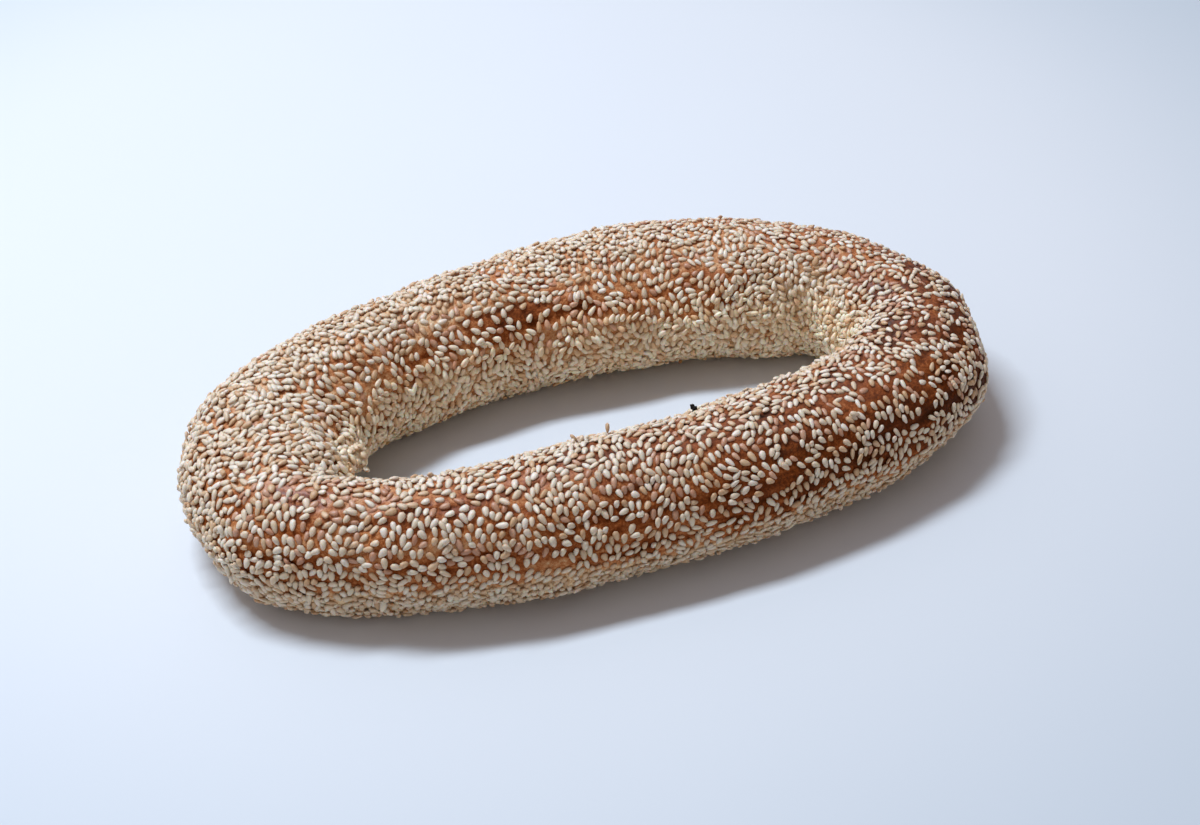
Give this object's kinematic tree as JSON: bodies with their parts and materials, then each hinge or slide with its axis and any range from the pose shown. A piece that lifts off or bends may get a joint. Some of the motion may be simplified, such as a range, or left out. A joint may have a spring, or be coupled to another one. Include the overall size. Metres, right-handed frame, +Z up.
{
  "type": "simit bread ring",
  "caption": "Long oval bread ring, one rope of dough closed round an open hole, brown crust thickly covered with sesame seeds.",
  "frame": {"origin": "on the surface that the ring lies on, under the middle of its box", "axes": "+X along the ring's long axis, +Y across it, +Z up from the flat foot"},
  "size_m": [0.2578, 0.1372, 0.0438],
  "materials": {
    "crust": "baked bread crust, reddish brown on top and tan low down, satin",
    "sesame": "hulled sesame seed, cream white, dull",
    "toasted_sesame": "toasted sesame seed, tan, dull",
    "burnt_crumb": "charred crumb, black, dull"
  },
  "bodies": {
    "root": {"simit": "crust"}
  },
  "joints": []
}
